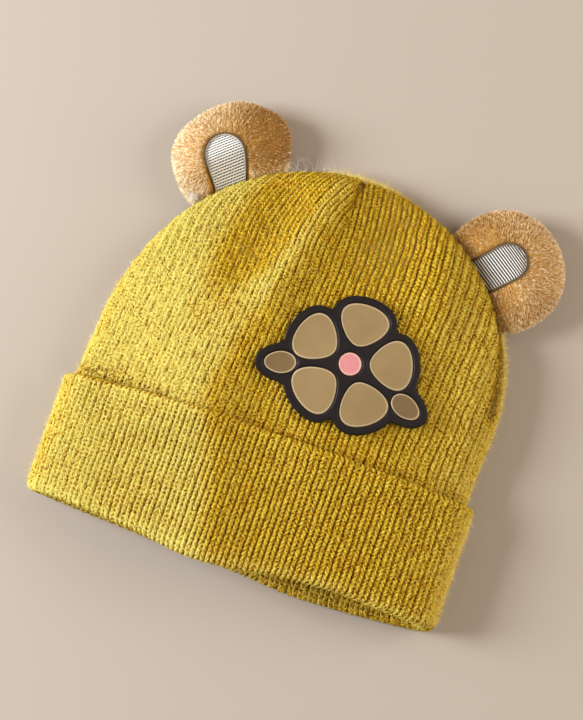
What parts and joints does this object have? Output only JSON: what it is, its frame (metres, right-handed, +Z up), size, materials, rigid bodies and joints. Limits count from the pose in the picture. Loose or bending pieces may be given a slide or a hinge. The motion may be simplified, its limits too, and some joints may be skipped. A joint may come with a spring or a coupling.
{
  "type": "baby knit hat with ears",
  "caption": "Ribbed knit baby beanie with a turned-up cuff, two stuffed plush ears with woven inserts and a soft rubber flower patch, lying on its back.",
  "frame": {"origin": "centre of the lowest plane of the box around the hat, which lies on its back", "axes": "+Z up out of the front of the hat, where the patch is; +Y from the mouth to the crown; +X to the right of the front as the picture shows it"},
  "size_m": [0.2018, 0.2068, 0.0406],
  "materials": {
    "mustard_knit": "ribbed knit in fuzzy mustard yarn",
    "ear_plush": "short tan plush pile",
    "ear_insert": "cream corded weave with a stitched edge",
    "patch_outline": "soft matt moulded rubber, near black",
    "patch_tan": "soft matt moulded rubber, tan",
    "patch_taupe": "soft matt moulded rubber, taupe",
    "patch_pink": "soft matt moulded rubber, pink"
  },
  "bodies": {
    "root": {"knit_body": "mustard_knit", "ear_left": "ear_plush", "ear_left_inner": "ear_insert", "ear_right": "ear_plush", "ear_right_inner": "ear_insert", "patch_base": "patch_outline", "petal_1": "patch_tan", "petal_2": "patch_tan", "petal_3": "patch_tan", "petal_4": "patch_tan", "petal_5": "patch_tan", "leaf_1": "patch_taupe", "leaf_2": "patch_taupe", "flower_centre": "patch_pink"}
  },
  "joints": []
}
